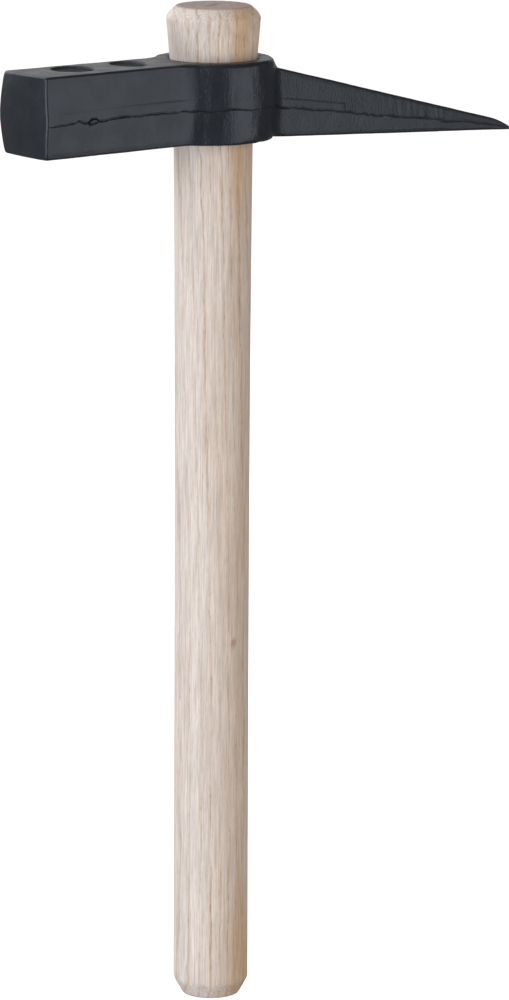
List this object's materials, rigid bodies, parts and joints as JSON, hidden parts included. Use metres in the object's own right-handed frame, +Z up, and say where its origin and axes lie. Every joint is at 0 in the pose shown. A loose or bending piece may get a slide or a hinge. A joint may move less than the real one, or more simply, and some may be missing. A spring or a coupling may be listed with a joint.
{
  "type": "brick hammer",
  "caption": "Mason's hammer with a square striking poll, round eye boss and long narrow chisel pick, on a straight round wooden handle.",
  "frame": {"origin": "middle of the handle's butt end", "axes": "+Z up the handle's axis towards the head, +X from the handle's axis towards the pick's edge, -X towards the striking face"},
  "size_m": [0.236, 0.05, 0.3995],
  "materials": {
    "black_paint": "satin black paint over drop-forged steel, with the forging's flash line and scale showing through",
    "ash_wood": "bare sanded ash with long open grain"
  },
  "bodies": {
    "head": {"hammer_head": "black_paint"},
    "handle": {"handle": "ash_wood"}
  },
  "joints": [
    {"name": "handle_slide", "type": "slide", "parent": "head", "child": "handle", "axis": [0, 0, 1], "range_m": [0, 0.385]}
  ]
}
